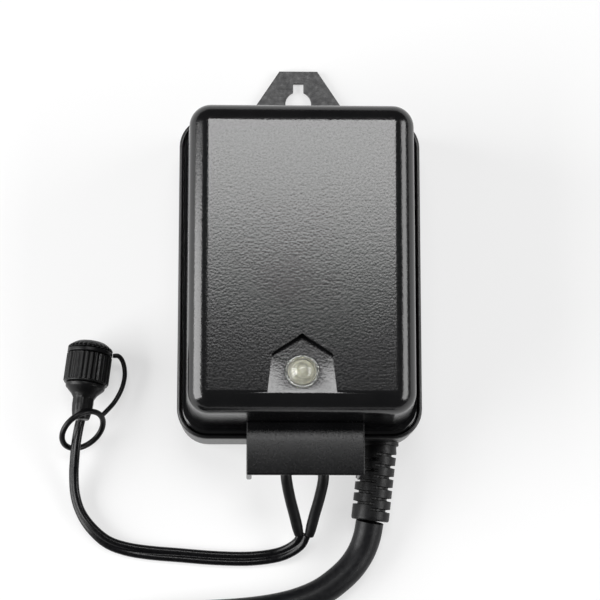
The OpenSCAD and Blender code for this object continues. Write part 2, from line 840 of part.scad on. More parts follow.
module connector_seal() {
    color("#5a2f28") at_connector() translate([0, 0, 1.05]) difference() {
        cylinder(r = spigot_d / 2, h = 1.3);
        translate([0, 0, -1]) cylinder(r = 5.85, h = 4);
    }
}

module dust_cap() {
    skirt_r = cap_d / 2 - 0.5;
    color("#17181a") at_connector() difference() {
        union() {
            rotate_extrude() polygon([[0, 0.1], [skirt_r, 0.1], [skirt_r, cap_groove],
                [7.6, cap_groove], [7.6, cap_groove + cap_collar_t],
                [8.1, cap_groove + cap_collar_t], [7.4, cap_end - 2], [5.6, cap_end - 0.6],
                [0, cap_end]]);
            for (k = [0:cap_ribs - 1])
                rotate(360 * k / cap_ribs) translate([skirt_r, 0, 0.9])
                    cylinder(r = 0.5, h = cap_groove - 0.9, $fn = 16);
        }
        cylinder(r = spigot_d / 2 + thread_gap, h = cavity_l);
    }
}

module cap_tether() {
    color("#1c1c1e") {
        at_connector() translate([0, 0, cap_groove + 0.15]) difference() {
            cylinder(r = 9.1, h = cap_collar_t - 0.3);
            translate([0, 0, -1]) cylinder(r = 7.6 + thread_gap, h = 5);
        }
        translate(tether_ring_at) rotate(tether_ring_turn)
            rotate_extrude() translate([tether_ring_r, 0]) circle(tether_r, $fn = 24);
        swept_tube(strap_route, 0.9, 1.2);
    }
}

// ---- Mains cord ----

// Places its children on the grip's barrel, with its length along z
module at_grip() {
    translate([grip_x, grip_barrel_y, grip_z]) rotate(grip_turn) children();
}

module cord_grip() {
    color("#19191b") {
        rod_y([grip_x, grip_barrel_y - 1.2, grip_z], grip_collar_r, grip_wall_y - grip_barrel_y + 1);
        rod_y([grip_x, grip_wall_y - 0.4, grip_z], 5.4, 4.4);
        rod_y([grip_x, grip_wall_y + wall + 0.7, grip_z], 6.4, 1.3);
        difference() {
            at_grip() cylinder(d = grip_d, h = grip_l);
            at_grip() for (i = [0:grip_slots - 1])
                translate([(i % 2 == 0 ? 1 : -1) * grip_d / 2, 0, 4.2 + i * grip_pitch])
                    cube([6, 11, 0.9], center = true);
            block([grip_x - 10, grip_wall_y - 0.2, 0], [grip_x + 10, grip_wall_y + 5, 20]);
        }
    }
}

module mains_cord_run() {
    color("#161617") swept_tube(cord_route, cord_d / 2, cord_d / 2, 10);
}

// Outer shape of the coil: a flat bundle of two layers with a crown on top
module mains_cord_coil() {
    bevel = cord_d * 0.3;
    color("#161617") translate(coil_at) rotate_extrude()
        polygon([[coil_in_r + bevel, 0], [coil_out_r - bevel, 0], [coil_out_r, bevel],
            [coil_out_r, coil_layers_h - bevel], [coil_d / 2 + bevel, coil_top_h],
            [coil_d / 2 - bevel, coil_top_h], [coil_in_r, coil_layers_h - bevel],
            [coil_in_r, bevel]]);
}

module mains_cord_tail() {
    color("#161617") swept_tube(tail_route, cord_d / 2, cord_d / 2, 10);
}

// Strap closed round the coil's bundle, just off its surface
module cord_tie() {
    gap = 0.6;
    color("#222224") translate(coil_at) rotate(tie_turn) translate([coil_d / 2, 0, 0])
        rotate([90, 0, 0]) translate([0, 0, -tie_w / 2]) linear_extrude(tie_w) difference() {
            translate([-cord_d - gap - tie_t, 0])
                square([2 * (cord_d + gap + tie_t), coil_top_h + gap + tie_t]);
            translate([-cord_d - gap, -1])
                square([2 * (cord_d + gap), coil_top_h + gap + 1]);
        }
}

// Places its children on the plug's axis, lying down, with its length along z
module at_plug() {
    translate(plug_at) rotate([0, 0, tail_turn]) rotate([0, 90, 0]) children();
}

module plug_body() {
    r = plug_d / 2;
    color("#1a1a1c") at_plug() difference() {
        rotate_extrude() polygon([[0, 0.1], [6.6, 0.1], [7.6, 12], [12, 18], [13.4, 30],
            [r, 37], [r, plug_l], [0, plug_l]]);
        for (side = [-1, 1])
            translate([side * (r - 1.2), 0, plug_l - 3]) cube([2.6, 7, 10], center = true);
    }
}

module plug_pins() {
    color("#c3c6ca") at_plug() translate([0, 0, plug_l]) for (side = [-1, 1])
        translate([0, side * plug_pin_gap / 2, 0]) {
            cylinder(d = plug_pin_d, h = plug_pin_l - 1.2);
            translate([0, 0, plug_pin_l - 1.2])
                cylinder(d1 = plug_pin_d, d2 = plug_pin_d - 1.8, h = 1.2);
        }
}

module plug_earth_clips() {
    color("#c3c6ca") at_plug() for (side = [-1, 1])
        translate([side * (plug_d / 2 - 1.6), 0, plug_l - 3.4]) cube([1, 5, 6], center = true);
}

front_cover();
rear_tray();
case_gasket();
case_screws();
hanger_plate();
hanger_screws();
sensor_lens();
lens_seal();
lens_clip();
light_cell();
sensor_board();
relay();
capacitor();
board_parts();
board_screws();
transformer_core();
winding_former();
primary_winding();
secondary_winding();
transformer_saddle();
transformer_screws();
overload_cutout();
mains_wires();
outlet_wires();
switch_wires();
terminal_block();
terminal_hood();
terminal_plates();
wire_lugs();
washer_left();
washer_right();
screw_left();
screw_right();
sleeve_left();
sleeve_right();
output_lead();
connector_body();
connector_contacts();
connector_seal();
dust_cap();
cap_tether();
cord_grip();
mains_cord_run();
mains_cord_coil();
mains_cord_tail();
cord_tie();
plug_body();
plug_pins();
plug_earth_clips();
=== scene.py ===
"""An outdoor low-voltage power box with a light sensor, lying on its back with its leads."""
import math

import bmesh
import bpy
from mathutils import Matrix, Vector


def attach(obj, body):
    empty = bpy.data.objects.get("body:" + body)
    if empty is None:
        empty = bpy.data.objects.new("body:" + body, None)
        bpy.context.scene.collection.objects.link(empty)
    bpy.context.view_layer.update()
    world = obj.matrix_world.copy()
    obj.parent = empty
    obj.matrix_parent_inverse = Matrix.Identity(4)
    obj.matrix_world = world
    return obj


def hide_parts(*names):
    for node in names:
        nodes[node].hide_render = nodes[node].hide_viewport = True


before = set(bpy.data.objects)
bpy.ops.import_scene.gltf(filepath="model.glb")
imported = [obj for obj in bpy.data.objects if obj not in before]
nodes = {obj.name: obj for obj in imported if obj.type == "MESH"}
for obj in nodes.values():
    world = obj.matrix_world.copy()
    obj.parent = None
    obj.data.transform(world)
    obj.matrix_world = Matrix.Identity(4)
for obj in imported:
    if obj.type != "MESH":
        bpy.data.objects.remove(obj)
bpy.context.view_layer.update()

MM = 0.001
UP = Vector((0, 0, 1))
NORTH = Vector((0, 1, 0))
scene = bpy.context.scene


# ---- Sizes, as in the CAD source ----

FLANGE_W, FLANGE_L = 92 * MM, 124 * MM
CASE_Y = -5 * MM
COVER_Y = -3.7 * MM
CASE_TOP = 60 * MM
WALL = 2.4 * MM
COVER_W, COVER_L = 85.4 * MM, 117.4 * MM
COVER_FOOT, COVER_RIM_TOP = 21.4 * MM, 23.6 * MM
COVER_CORNER_R, COVER_EDGE, COVER_DRAFT = 9 * MM, 8 * MM, 1.2 * MM
FLANGE_CORNER_R = 11.5
FILLET_H, FILLET_STEPS = 3.6 * MM, 9
BOSS_PLACES = [(x * MM, y * MM) for x in (-35.5, 35.5) for y in (-56, 46)]
RECESS_W, RECESS_DEPTH = 25 * MM, 4 * MM
RECESS_TOP_Y, RECESS_FOOT_Y = -32.7 * MM, -54.5 * MM
RECESS_LEAN = math.atan(RECESS_DEPTH / (RECESS_TOP_Y - RECESS_FOOT_Y))
RECESS_L = (RECESS_TOP_Y - RECESS_FOOT_Y) / math.cos(RECESS_LEAN)
SHOULDER_DROP, SHOULDER_W = 7.4 * MM, 0.88 * RECESS_W
GLAND_X, GLAND_Y, GLAND_Z = 30.4 * MM, -67 * MM, 9.8 * MM
LENS_Y = -46.4 * MM
LENS_Z = CASE_TOP - (LENS_Y - RECESS_FOOT_Y) * math.tan(RECESS_LEAN)

# Routes of the leads, repeated from the CAD source in metres. Only the two branches differ: each
# ends about a millimetre and a half further on, over the start of the lead.
CORD_D = 0.0106
CORD_Z = 0.0054
CORD_ROUTE = [
    (0.027, -0.0966, 0.0077), (0.026, -0.102, 0.0066), (0.024, -0.1075, 0.0056),
    (0.0205, -0.113, CORD_Z), (0.0155, -0.118, CORD_Z), (0.0085, -0.123, CORD_Z),
    (0, -0.1266, CORD_Z), (-0.010, -0.129, CORD_Z), (-0.022, -0.1305, CORD_Z),
    (-0.038, -0.1316, CORD_Z), (-0.054, -0.1334, CORD_Z), (-0.070, -0.1366, CORD_Z),
    (-0.084, -0.1408, CORD_Z), (-0.096, -0.1454, CORD_Z), (-0.1066, -0.1501, CORD_Z),
]
COIL_AT = Vector((-0.084, -0.206, 0))
COIL_R = 0.055
TAIL_START = Vector((-0.0634, -0.257, 0))
TAIL_TURN = math.radians(22)
TAIL_HEADING = Vector((math.cos(TAIL_TURN), math.sin(TAIL_TURN), 0))
TAIL_RUN = [(0, 0.0254), (0.012, 0.0264), (0.025, 0.027), (0.037, 0.0258), (0.049, 0.0228),
            (0.060, 0.0202), (0.0698, 0.0193)]
LEAD_W, LEAD_T = 0.0054, 0.0028
LEAD_ROUTE = [
    (0.002, -0.1014, 0.0092), (0, -0.105, 0.0066), (-0.005, -0.108, 0.0038),
    (-0.011, -0.1095, 0.002), (-0.020, -0.1103, 0.0015), (-0.032, -0.110, 0.0015),
    (-0.045, -0.109, 0.0015), (-0.057, -0.108, 0.0016), (-0.066, -0.1065, 0.0018),
    (-0.073, -0.1038, 0.0022), (-0.079, -0.0985, 0.0026), (-0.083, -0.0925, 0.0028),
    (-0.085, -0.086, 0.0036), (-0.0854, -0.079, 0.006), (-0.085, -0.073, 0.0088),
    (-0.0844, -0.0675, 0.0109), (-0.0836, -0.0625, 0.0116), (-0.0829, -0.0589, 0.0114),
]
LEAD_ROLL = math.radians(-65)  # it lies flat at first and ends nearly on edge
ROLL_START, ROLL_STRETCH = 6, 5  # points of the route before it rolls, and while it does
LEFT_BRANCH = [(-0.0052, -0.0748, 0.0258), (-0.0052, -0.079, 0.0256), (-0.0048, -0.083, 0.0236),
               (-0.0034, -0.089, 0.0184), (-0.0016, -0.095, 0.0132), (0.0001, -0.1014, 0.0089)]
RIGHT_BRANCH = [(0.0088, -0.0748, 0.0258), (0.0088, -0.079, 0.0256), (0.0087, -0.083, 0.0238),
                (0.0074, -0.089, 0.0188), (0.0057, -0.095, 0.0136), (0.0040, -0.1018, 0.0089)]
SLEEVE_R = 0.0021
STRAP_ROUTE = [(-0.0712, -0.0336, 0.0091), (-0.0688, -0.0338, 0.0089), (-0.0671, -0.0365, 0.0082),
               (-0.0666, -0.041, 0.0074), (-0.0677, -0.046, 0.007), (-0.0702, -0.051, 0.0076),
               (-0.073, -0.0546, 0.009), (-0.0752, -0.057, 0.010)]


# ---- Camera, light and floor ----

CAMERA_AT = Vector((-0.0202, -0.1526, 0.8))
CAMERA_TARGET = Vector((0.0001, -0.0142, 0.024))
CAMERA_LENS = 125.1
LIGHT_TARGET = Vector((0, 0, 0.04))


def looking(at, target):
    """Matrix of something at a point that looks along its own -Z at the target."""
    forward = (target - at).normalized()
    right = forward.cross(NORTH).normalized()
    turn = Matrix((right, right.cross(forward), -forward)).transposed()
    return Matrix.Translation(at) @ turn.to_4x4()


def add_camera():
    data = bpy.data.cameras.new("camera")
    data.lens = CAMERA_LENS
    data.sensor_width = 36
    camera = bpy.data.objects.new("camera", data)
    camera.matrix_world = looking(CAMERA_AT, CAMERA_TARGET)
    scene.collection.objects.link(camera)
    scene.camera = camera


def softbox(name, at, size, glow):
    """Area light of a given brightness, facing the case."""
    data = bpy.data.lights.new(name, "AREA")
    data.shape = "RECTANGLE"  # its second side runs along Y
    data.size, data.size_y = size
    data.energy = glow * math.pi * size[0] * size[1]
    light = bpy.data.objects.new(name, data)
    light.matrix_world = looking(Vector(at), LIGHT_TARGET)
    scene.collection.objects.link(light)


def add_light():
    softbox("top_softbox", (0.0, 0.410, 1.297), (0.56, 0.31), 10.8)
    softbox("left_softbox", (-0.97, -0.17, 0.46), (0.85, 0.94), 8.5)
    softbox("right_softbox", (0.97, -0.10, 0.61), (0.52, 1.30), 6.0)
    world = bpy.data.worlds.new("world")
    world.use_nodes = True
    background = world.node_tree.nodes["Background"]
    background.inputs["Color"].default_value = (1, 1, 1, 1)
    background.inputs["Strength"].default_value = 0.08
    scene.world = world
    scene.view_settings.view_transform = "Standard"


# ---- Materials ----

class Paint:
    """A node material, built up step by step around one Principled shader."""

    def __init__(self, name, color, rough, metallic=0.0):
        self.material = bpy.data.materials.new(name)
        self.material.use_nodes = True
        self.tree = self.material.node_tree
        self.shader = self.tree.nodes["Principled BSDF"]
        self.color = color
        self.height = None
        self.place = self.add("ShaderNodeTexCoord").outputs["Object"]
        self.put("Base Color", (*color, 1))
        self.put("Roughness", rough)
        self.put("Metallic", metallic)

    def add(self, kind, **inputs):
        node = self.tree.nodes.new(kind)
        for name, value in inputs.items():
            self.set(node, name, value)
        return node

    def set(self, node, name, value):
        socket = node.inputs[name]
        if isinstance(value, bpy.types.NodeSocket):
            self.tree.links.new(value, socket)
        else:
            socket.default_value = value

    def put(self, name, value):
        self.set(self.shader, name, value)
        return self

    def noise(self, size, detail=2.0, rough=0.5):
        """Noise whose features are about size metres across."""
        node = self.add("ShaderNodeTexNoise", Vector=self.place, Scale=1 / size, Detail=detail,
                        Roughness=rough)
        return node.outputs["Fac"]

    def cells(self, size):
        node = self.add("ShaderNodeTexVoronoi", Vector=self.place, Scale=1 / size)
        return node.outputs["Distance"]

    def stripes(self, size, axis="Z", wobble=0.0):
        """Bands that repeat every size metres along an axis."""
        node = self.add("ShaderNodeTexWave", Vector=self.place, Scale=math.pi / 10 / size,
                        Distortion=wobble, Detail=1.0)
        node.bands_direction = axis
        return node.outputs["Fac"]

    def between(self, value, low, high, to_low, to_high):
        node = self.add("ShaderNodeMapRange")
        for name, number in zip(("Value", "From Min", "From Max", "To Min", "To Max"),
                                (value, low, high, to_low, to_high)):
            self.set(node, name, number)
        return node.outputs["Result"]

    def tinted(self, pattern, other, low=0.35, high=0.65):
        """Colour that goes from the base to another as the pattern rises."""
        mix = self.add("ShaderNodeMix")
        mix.data_type = "RGBA"
        factor, first, second = mix.inputs[0], mix.inputs[6], mix.inputs[7]
        self.tree.links.new(self.between(pattern, low, high, 0, 1), factor)
        before = self.shader.inputs["Base Color"]
        if before.is_linked:
            self.tree.links.new(before.links[0].from_socket, first)
        else:
            first.default_value = (*self.color, 1)
        second.default_value = (*other, 1)
        return self.put("Base Color", mix.outputs[2])

    def polished(self, pattern, low, high):
        """Roughness that follows a pattern."""
        return self.put("Roughness", self.between(pattern, 0.3, 0.7, low, high))

    def bumped(self, pattern, depth):
        """Relief that follows a pattern, depth metres high."""
        bump = self.add("ShaderNodeBump", Height=pattern, Distance=depth, Strength=1.0)
        if self.height:
            self.set(bump, "Normal", self.height)
        self.height = bump.outputs["Normal"]
        return self.put("Normal", self.height)


def case_plastic(name="case_plastic", rough=0.16, depth=0.000017, shine=0.5):
    """Black moulded plastic with the fine grain of a spark-eroded mould."""
    paint = Paint(name, (0.0032, 0.0033, 0.0036), rough)
    paint.put("Specular IOR Level", shine)
    paint.tinted(paint.noise(0.012, 3), (0.0048, 0.0048, 0.0052))
    paint.polished(paint.noise(0.0008, 2), rough - 0.03, rough + 0.05)
    paint.bumped(paint.cells(0.0009), -depth)
    paint.bumped(paint.noise(0.0007, 3, 0.6), depth)
    return paint.bumped(paint.noise(0.0003), depth * 0.35).material


def smooth_plastic(name, color, rough, grain=0.0004, depth=0.000006):
    """Moulded plastic or rubber with faint mottling and a very fine grain."""
    paint = Paint(name, color, rough)
    lighter = tuple(c * 1.5 + 0.0004 for c in color)
    paint.tinted(paint.noise(0.009, 3), lighter, 0.4, 0.75)
    paint.polished(paint.noise(0.003, 2), rough - 0.04, rough + 0.06)
    return paint.bumped(paint.noise(grain), depth).material


def rubber(name, color=(0.0032, 0.0032, 0.0036), rough=0.42):
    """Dull rubber with dust in its pores."""
    paint = Paint(name, color, rough)
    paint.put("Specular IOR Level", 0.22)
    paint.tinted(paint.noise(0.006, 4, 0.6), tuple(c * 1.7 for c in color), 0.45, 0.8)
    paint.polished(paint.noise(0.0015, 3), rough - 0.06, rough + 0.1)
    paint.bumped(paint.noise(0.0016, 3), 0.00001)
    return paint.bumped(paint.noise(0.00035), 0.000006).material


def metal(name, color, rough, along="Y"):
    """Metal with drawing or grinding lines along one axis and faint tarnish."""
    paint = Paint(name, color, rough, 1.0)
    paint.tinted(paint.noise(0.004, 4), tuple(c * 0.72 for c in color), 0.42, 0.8)
    paint.polished(paint.noise(0.0012, 3), rough - 0.05, rough + 0.12)
    return paint.bumped(paint.stripes(0.00018, along, 3.0), 0.0000025).material


def painted_steel():
    """Steel with a thin grey-black stove paint, a little orange-peeled."""
    paint = Paint("black_paint", (0.014, 0.014, 0.015), 0.42)
    paint.tinted(paint.noise(0.005, 4), (0.026, 0.026, 0.027))
    paint.polished(paint.noise(0.0016, 3), 0.36, 0.5)
    return paint.bumped(paint.noise(0.0007, 3, 0.6), 0.00002).material


def clear_lens():
    """Clear moulded dome."""
    paint = Paint("lens_clear", (0.93, 0.94, 0.90), 0.08)
    paint.put("Transmission Weight", 0.92)
    paint.put("IOR", 1.49)
    paint.polished(paint.noise(0.002, 2), 0.05, 0.14)
    return paint.bumped(paint.noise(0.0012), 0.000004).material


def milky_lens():
    """Milky core of the lens, which spreads the light on the cell."""
    paint = Paint("lens_milky", (0.50, 0.49, 0.40), 0.3)
    paint.put("Subsurface Weight", 0.35)
    paint.put("Subsurface Radius", (0.004, 0.004, 0.003))
    paint.put("Subsurface Scale", 0.5)
    paint.tinted(paint.noise(0.0025, 3), (0.34, 0.33, 0.26))
    return paint.bumped(paint.noise(0.0008), 0.00001).material


def board_green():
    """Circuit board with solder mask over a pattern of tracks."""
    paint = Paint("board_green", (0.018, 0.085, 0.032), 0.3)
    paint.tinted(paint.stripes(0.0028, "X", 6.0), (0.04, 0.16, 0.055), 0.62, 0.7)
    paint.tinted(paint.cells(0.0035), (0.55, 0.50, 0.38), 0.13, 0.08)
    return paint.bumped(paint.stripes(0.0028, "X", 6.0), 0.00003).material


def laminations():
    """Stack of silicon-steel sheets with varnish and a little rust in the seams."""
    paint = Paint("lamination_steel", (0.11, 0.115, 0.125), 0.42, 0.7)
    sheets = paint.stripes(0.0005, "Z", 0.4)
    paint.tinted(sheets, (0.028, 0.026, 0.026), 0.55, 0.75)
    paint.tinted(paint.noise(0.006, 4, 0.65), (0.12, 0.06, 0.03), 0.62, 0.8)
    return paint.bumped(sheets, 0.00008).material


def copper_winding():
    """Layers of varnished wire wound round the former."""
    paint = Paint("copper_wire", (0.62, 0.22, 0.07), 0.28, 0.9)
    strands = paint.stripes(0.0007, "Y", 0.5)
    paint.tinted(strands, (0.16, 0.045, 0.016), 0.55, 0.85)
    return paint.bumped(strands, 0.00012).material


def banded(name, color, band, size, axis="Y"):
    """Small electrical part with printed bands round it."""
    paint = Paint(name, color, 0.4)
    paint.tinted(paint.stripes(size, axis), band, 0.7, 0.74)
    paint.tinted(paint.noise(0.002, 3), tuple(c * 0.8 for c in color), 0.55, 0.8)
    return paint.bumped(paint.noise(0.0006), 0.00001).material


def wire_insulation():
    """Insulated conductors, each in its own colour along its place in the case."""
    paint = Paint("wire_insulation", (0.24, 0.095, 0.035), 0.38)
    paint.tinted(paint.stripes(0.019, "X", 0.6), (0.035, 0.11, 0.40), 0.5, 0.52)
    paint.tinted(paint.noise(0.03, 0), (0.55, 0.40, 0.05), 0.55, 0.56)
    return paint.bumped(paint.noise(0.0008), 0.00001).material


def pale_floor():
    paint = Paint("pale_floor", (0.34, 0.34, 0.34), 0.75)
    paint.put("Specular IOR Level", 0.1)
    paint.put("Emission Color", (1, 1, 1, 1))
    paint.put("Emission Strength", 0.55)
    return paint.material


MATERIALS = {
    "case": case_plastic(),
    "tray": case_plastic("tray_plastic", 0.34, 0.000012),
    "hood": case_plastic("hood_plastic", 0.24, 0.000006, 0.2),
    "seal": rubber("seal_rubber", (0.02, 0.02, 0.021)),
    "screw": metal("screw_steel", (0.56, 0.56, 0.57), 0.3),
    "paint": painted_steel(),
    "lens": clear_lens(),
    "milky": milky_lens(),
    "spring": metal("spring_steel", (0.5, 0.5, 0.51), 0.24, "X"),
    "cell": banded("cell_ceramic", (0.5, 0.27, 0.08), (0.7, 0.12, 0.05), 0.0012, "X"),
    "board": board_green(),
    "relay": smooth_plastic("relay_blue", (0.03, 0.09, 0.30), 0.32),
    "capacitor": banded("capacitor_sleeve", (0.02, 0.035, 0.09), (0.45, 0.47, 0.5), 0.018, "X"),
    "resistor": banded("resistor_tan", (0.55, 0.36, 0.17), (0.30, 0.03, 0.02), 0.0014),
    "core": laminations(),
    "former": smooth_plastic("former_nylon", (0.62, 0.57, 0.45), 0.45, 0.0006, 0.00002),
    "copper": copper_winding(),
    "cutout": smooth_plastic("cutout_plastic", (0.03, 0.03, 0.033), 0.38),
    "wire": wire_insulation(),
    "brass": metal("brass", (0.66, 0.47, 0.16), 0.28, "X"),
    "tinned": metal("tinned_copper", (0.62, 0.62, 0.61), 0.34, "X"),
    "sleeve": rubber("shrink_sleeve", (0.0032, 0.0032, 0.0035), 0.42),
    "lead": rubber("lead_pvc", (0.0022, 0.0022, 0.0026), 0.26),
    "connector": rubber("connector_plastic", (0.0028, 0.0028, 0.003), 0.34),
    "grip": rubber("grip_rubber", (0.0032, 0.0032, 0.0035), 0.40),
    "cord": rubber("cord_rubber", (0.0034, 0.0035, 0.0042), 0.42),
    "tie": smooth_plastic("tie_strap", (0.006, 0.006, 0.0065), 0.5, 0.0005, 0.00002),
    "plug": rubber("plug_rubber", (0.004, 0.004, 0.0043), 0.44),
    "pin": metal("plug_metal", (0.6, 0.58, 0.54), 0.22),
    "tether": rubber("tether_rubber", (0.003, 0.003, 0.0033), 0.34),
    "floor": pale_floor(),
}


# ---- Mesh helpers ----

def new_piece(name, points, faces, sharp=32):
    """Closed mesh object from points in metres, smooth except where it turns sharply."""
    mesh = bpy.data.meshes.new(name)
    mesh.from_pydata([tuple(p) for p in points], [], faces)
    piece = bpy.data.objects.new(name, mesh)
    scene.collection.objects.link(piece)
    return tidied(piece, sharp)


def tidied(piece, sharp=32):
    """The piece with its doubled points joined, its faces outwards and its shading smooth."""
    work = bmesh.new()
    work.from_mesh(piece.data)
    bmesh.ops.remove_doubles(work, verts=work.verts, dist=1e-6)
    bmesh.ops.recalc_face_normals(work, faces=work.faces)
    work.to_mesh(piece.data)
    work.free()
    piece.data.polygons.foreach_set("use_smooth", [True] * len(piece.data.polygons))
    piece.data.set_sharp_from_angle(angle=math.radians(sharp))
    return piece


def modified(piece, kind, **settings):
    """The piece with one modifier put on it and applied."""
    modifier = piece.modifiers.new(kind.lower(), kind)
    for name, value in settings.items():
        setattr(modifier, name, value)
    bpy.context.view_layer.update()
    finished = piece.evaluated_get(bpy.context.evaluated_depsgraph_get())
    mesh = bpy.data.meshes.new_from_object(finished)
    piece.modifiers.clear()
    piece.data = mesh
    return piece


def combined(piece, operation, *others):
    """The piece with others cut from it or joined to it, which are then gone."""
    for other in others:
        modified(piece, "BOOLEAN", operation=operation, object=other, solver="EXACT")
        bpy.data.objects.remove(other)
    return piece


def bevelled(piece, width, segments=3, limit=33, sharp=40):
    """The piece with its sharp edges rounded over."""
    work = bmesh.new()
    work.from_mesh(piece.data)
    bmesh.ops.remove_doubles(work, verts=work.verts, dist=1e-6)
    bmesh.ops.dissolve_limit(work, angle_limit=math.radians(1), verts=work.verts, edges=work.edges)
    work.to_mesh(piece.data)
    work.free()
    modified(piece, "BEVEL", width=width, segments=segments, limit_method="ANGLE",
             angle_limit=math.radians(limit), use_clamp_overlap=True, miter_outer="MITER_ARC")
    tidied(piece, sharp)
    return modified(piece, "WEIGHTED_NORMAL", keep_sharp=True)


def loft(name, rings, sharp=32):
    """Solid through rings of as many points each, closed at both ends."""
    n = len(rings[0])
    faces = [[i * n + k, i * n + (k + 1) % n, (i + 1) * n + (k + 1) % n, (i + 1) * n + k]
             for i in range(len(rings) - 1) for k in range(n)]
    faces.append(list(range(n)))
    faces.append([(len(rings) - 1) * n + k for k in range(n)])
    return new_piece(name, [p for ring in rings for p in ring], faces, sharp)


def plate_ring(inset, r, z, width=FLANGE_W, length=FLANGE_L, middle=(0, CASE_Y)):
    """Rectangle with round corners at height z, drawn in from width and length by inset."""
    points, steps = [], 10
    r = max(r, 1e-5)
    for turn, (sx, sy) in enumerate(((1, 1), (-1, 1), (-1, -1), (1, -1))):
        x = middle[0] + sx * (width / 2 - inset - r)
        y = middle[1] + sy * (length / 2 - inset - r)
        for k in range(steps + 1):
            a = math.pi / 2 * (turn + k / steps)
            points.append(Vector((x + r * math.cos(a), y + r * math.sin(a), z)))
    return points


def softened(outline, radius, steps=4):
    """The same open outline with each corner replaced by a curve."""
    points = [Vector(p) for p in outline]
    result = [points[0]]
    for before, corner, after in zip(points, points[1:], points[2:]):
        back, on = before - corner, after - corner
        cut = min(radius, back.length * 0.45, on.length * 0.45)
        start, end = corner + back.normalized() * cut, corner + on.normalized() * cut
        for k in range(steps + 1):
            t = k / steps
            result.append((1 - t) ** 2 * start + 2 * t * (1 - t) * corner + t * t * end)
    result.append(points[-1])
    return result


def turned(name, outline, place=Matrix(), sides=64, relief=None, sharp=32):
    """Solid of revolution about Z from (radius, height) pairs, with an optional
    relief(angle, height) added to the radius."""
    rings = []
    for r, z in outline:
        ring = []
        for k in range(sides):
            a = 2 * math.pi * k / sides
            grown = r + (relief(a, z) if relief and r > 1e-6 else 0)
            ring.append(place @ Vector((grown * math.cos(a), grown * math.sin(a), z)))
        rings.append(ring)
    return loft(name, rings, sharp)


def scaled(outline):
    """Outline given in millimetres, in metres."""
    return [tuple(c * MM for c in p) for p in outline]


def slab(name, low, high):
    """Rectangular block between two corners in millimetres."""
    (x0, y0, z0), (x1, y1, z1) = low, high
    rings = [[Vector((x, y, z)) * MM for x, y in ((x0, y0), (x1, y0), (x1, y1), (x0, y1))]
             for z in (z0, z1)]
    return loft(name, rings)


def rod(name, at, r, length, direction=UP):
    """Plain rod from a point along a direction, for cutting and joining."""
    turn = UP.rotation_difference(Vector(direction)).to_matrix().to_4x4()
    outline = [(0, 0), (r, 0), (r, length), (0, length)]
    return turned(name, outline, Matrix.Translation(Vector(at)) @ turn, 48)


def smoothed(points, steps):
    """Curve through the points, with steps places between each two."""
    rows = [Vector(p) for p in points]
    padded = [rows[0] * 2 - rows[1], *rows, rows[-1] * 2 - rows[-2]]
    curve = []
    for a, b, c, d in zip(padded, padded[1:], padded[2:], padded[3:]):
        for k in range(steps):
            t = k / steps
            curve.append(0.5 * (2 * b + (c - a) * t + (2 * a - 5 * b + 4 * c - d) * t * t
                                + (3 * b - a - 3 * c + d) * t ** 3))
    return [*curve, rows[-1]]


def sweep(name, route, section, rolls=None, sharp=50):
    """Solid tube whose section(i, n) gives (sideways, upwards) points about the route."""
    rings = []
    for i, here in enumerate(route):
        ahead = (route[min(i + 1, len(route) - 1)] - route[max(i - 1, 0)]).normalized()
        side = ahead.cross(UP).normalized()
        roll = Matrix.Rotation(rolls[i] if rolls else 0.0, 3, ahead)
        side = roll @ side
        up = side.cross(ahead)
        rings.append([here + side * s + up * u for s, u in section(i, len(route))])
    return loft(name, rings, sharp)


def oval(wide, high, sides=28):
    """Section of an oval tube whose first and last rings are drawn in a little."""
    ends = 3

    def section(i, n):
        near = min(i, n - 1 - i)
        shrink = 1 - 0.16 * (1 - near / ends) ** 2 if near < ends else 1
        return [(wide * shrink * math.cos(2 * math.pi * k / sides),
                 high * shrink * math.sin(2 * math.pi * k / sides)) for k in range(sides)]
    return section


def curve_piece(name, points, r):
    """Round cord along points, as a curve with one open spline."""
    data = bpy.data.curves.new(name, "CURVE")
    data.dimensions = "3D"
    data.bevel_depth = r
    data.bevel_resolution = 7
    data.use_fill_caps = True
    spline = data.splines.new("POLY")
    spline.points.add(len(points) - 1)
    for point, at in zip(spline.points, points):
        point.co = (*at, 1)
    spline.use_smooth = True
    piece = bpy.data.objects.new(name, data)
    scene.collection.objects.link(piece)
    return piece


def dressed(piece, material, body="case", replaces=()):
    """Gives a piece its material, its body and the nodes it stands for."""
    piece.data.materials.clear()
    piece.data.materials.append(MATERIALS[material])
    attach(piece, body)
    if replaces:
        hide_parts(*replaces)
    return piece


def rounded_copy(node, width, material, slot, body="case", segments=3, limit=33):
    """Stands for a CAD node with the same form, its sharp edges rounded over."""
    piece = bpy.data.objects.new(node + "_fine", nodes[node].data.copy())
    scene.collection.objects.link(piece)
    bevelled(piece, width * MM, segments, limit)
    return dressed(piece, material, body, [node])


# ---- Mains cord ----

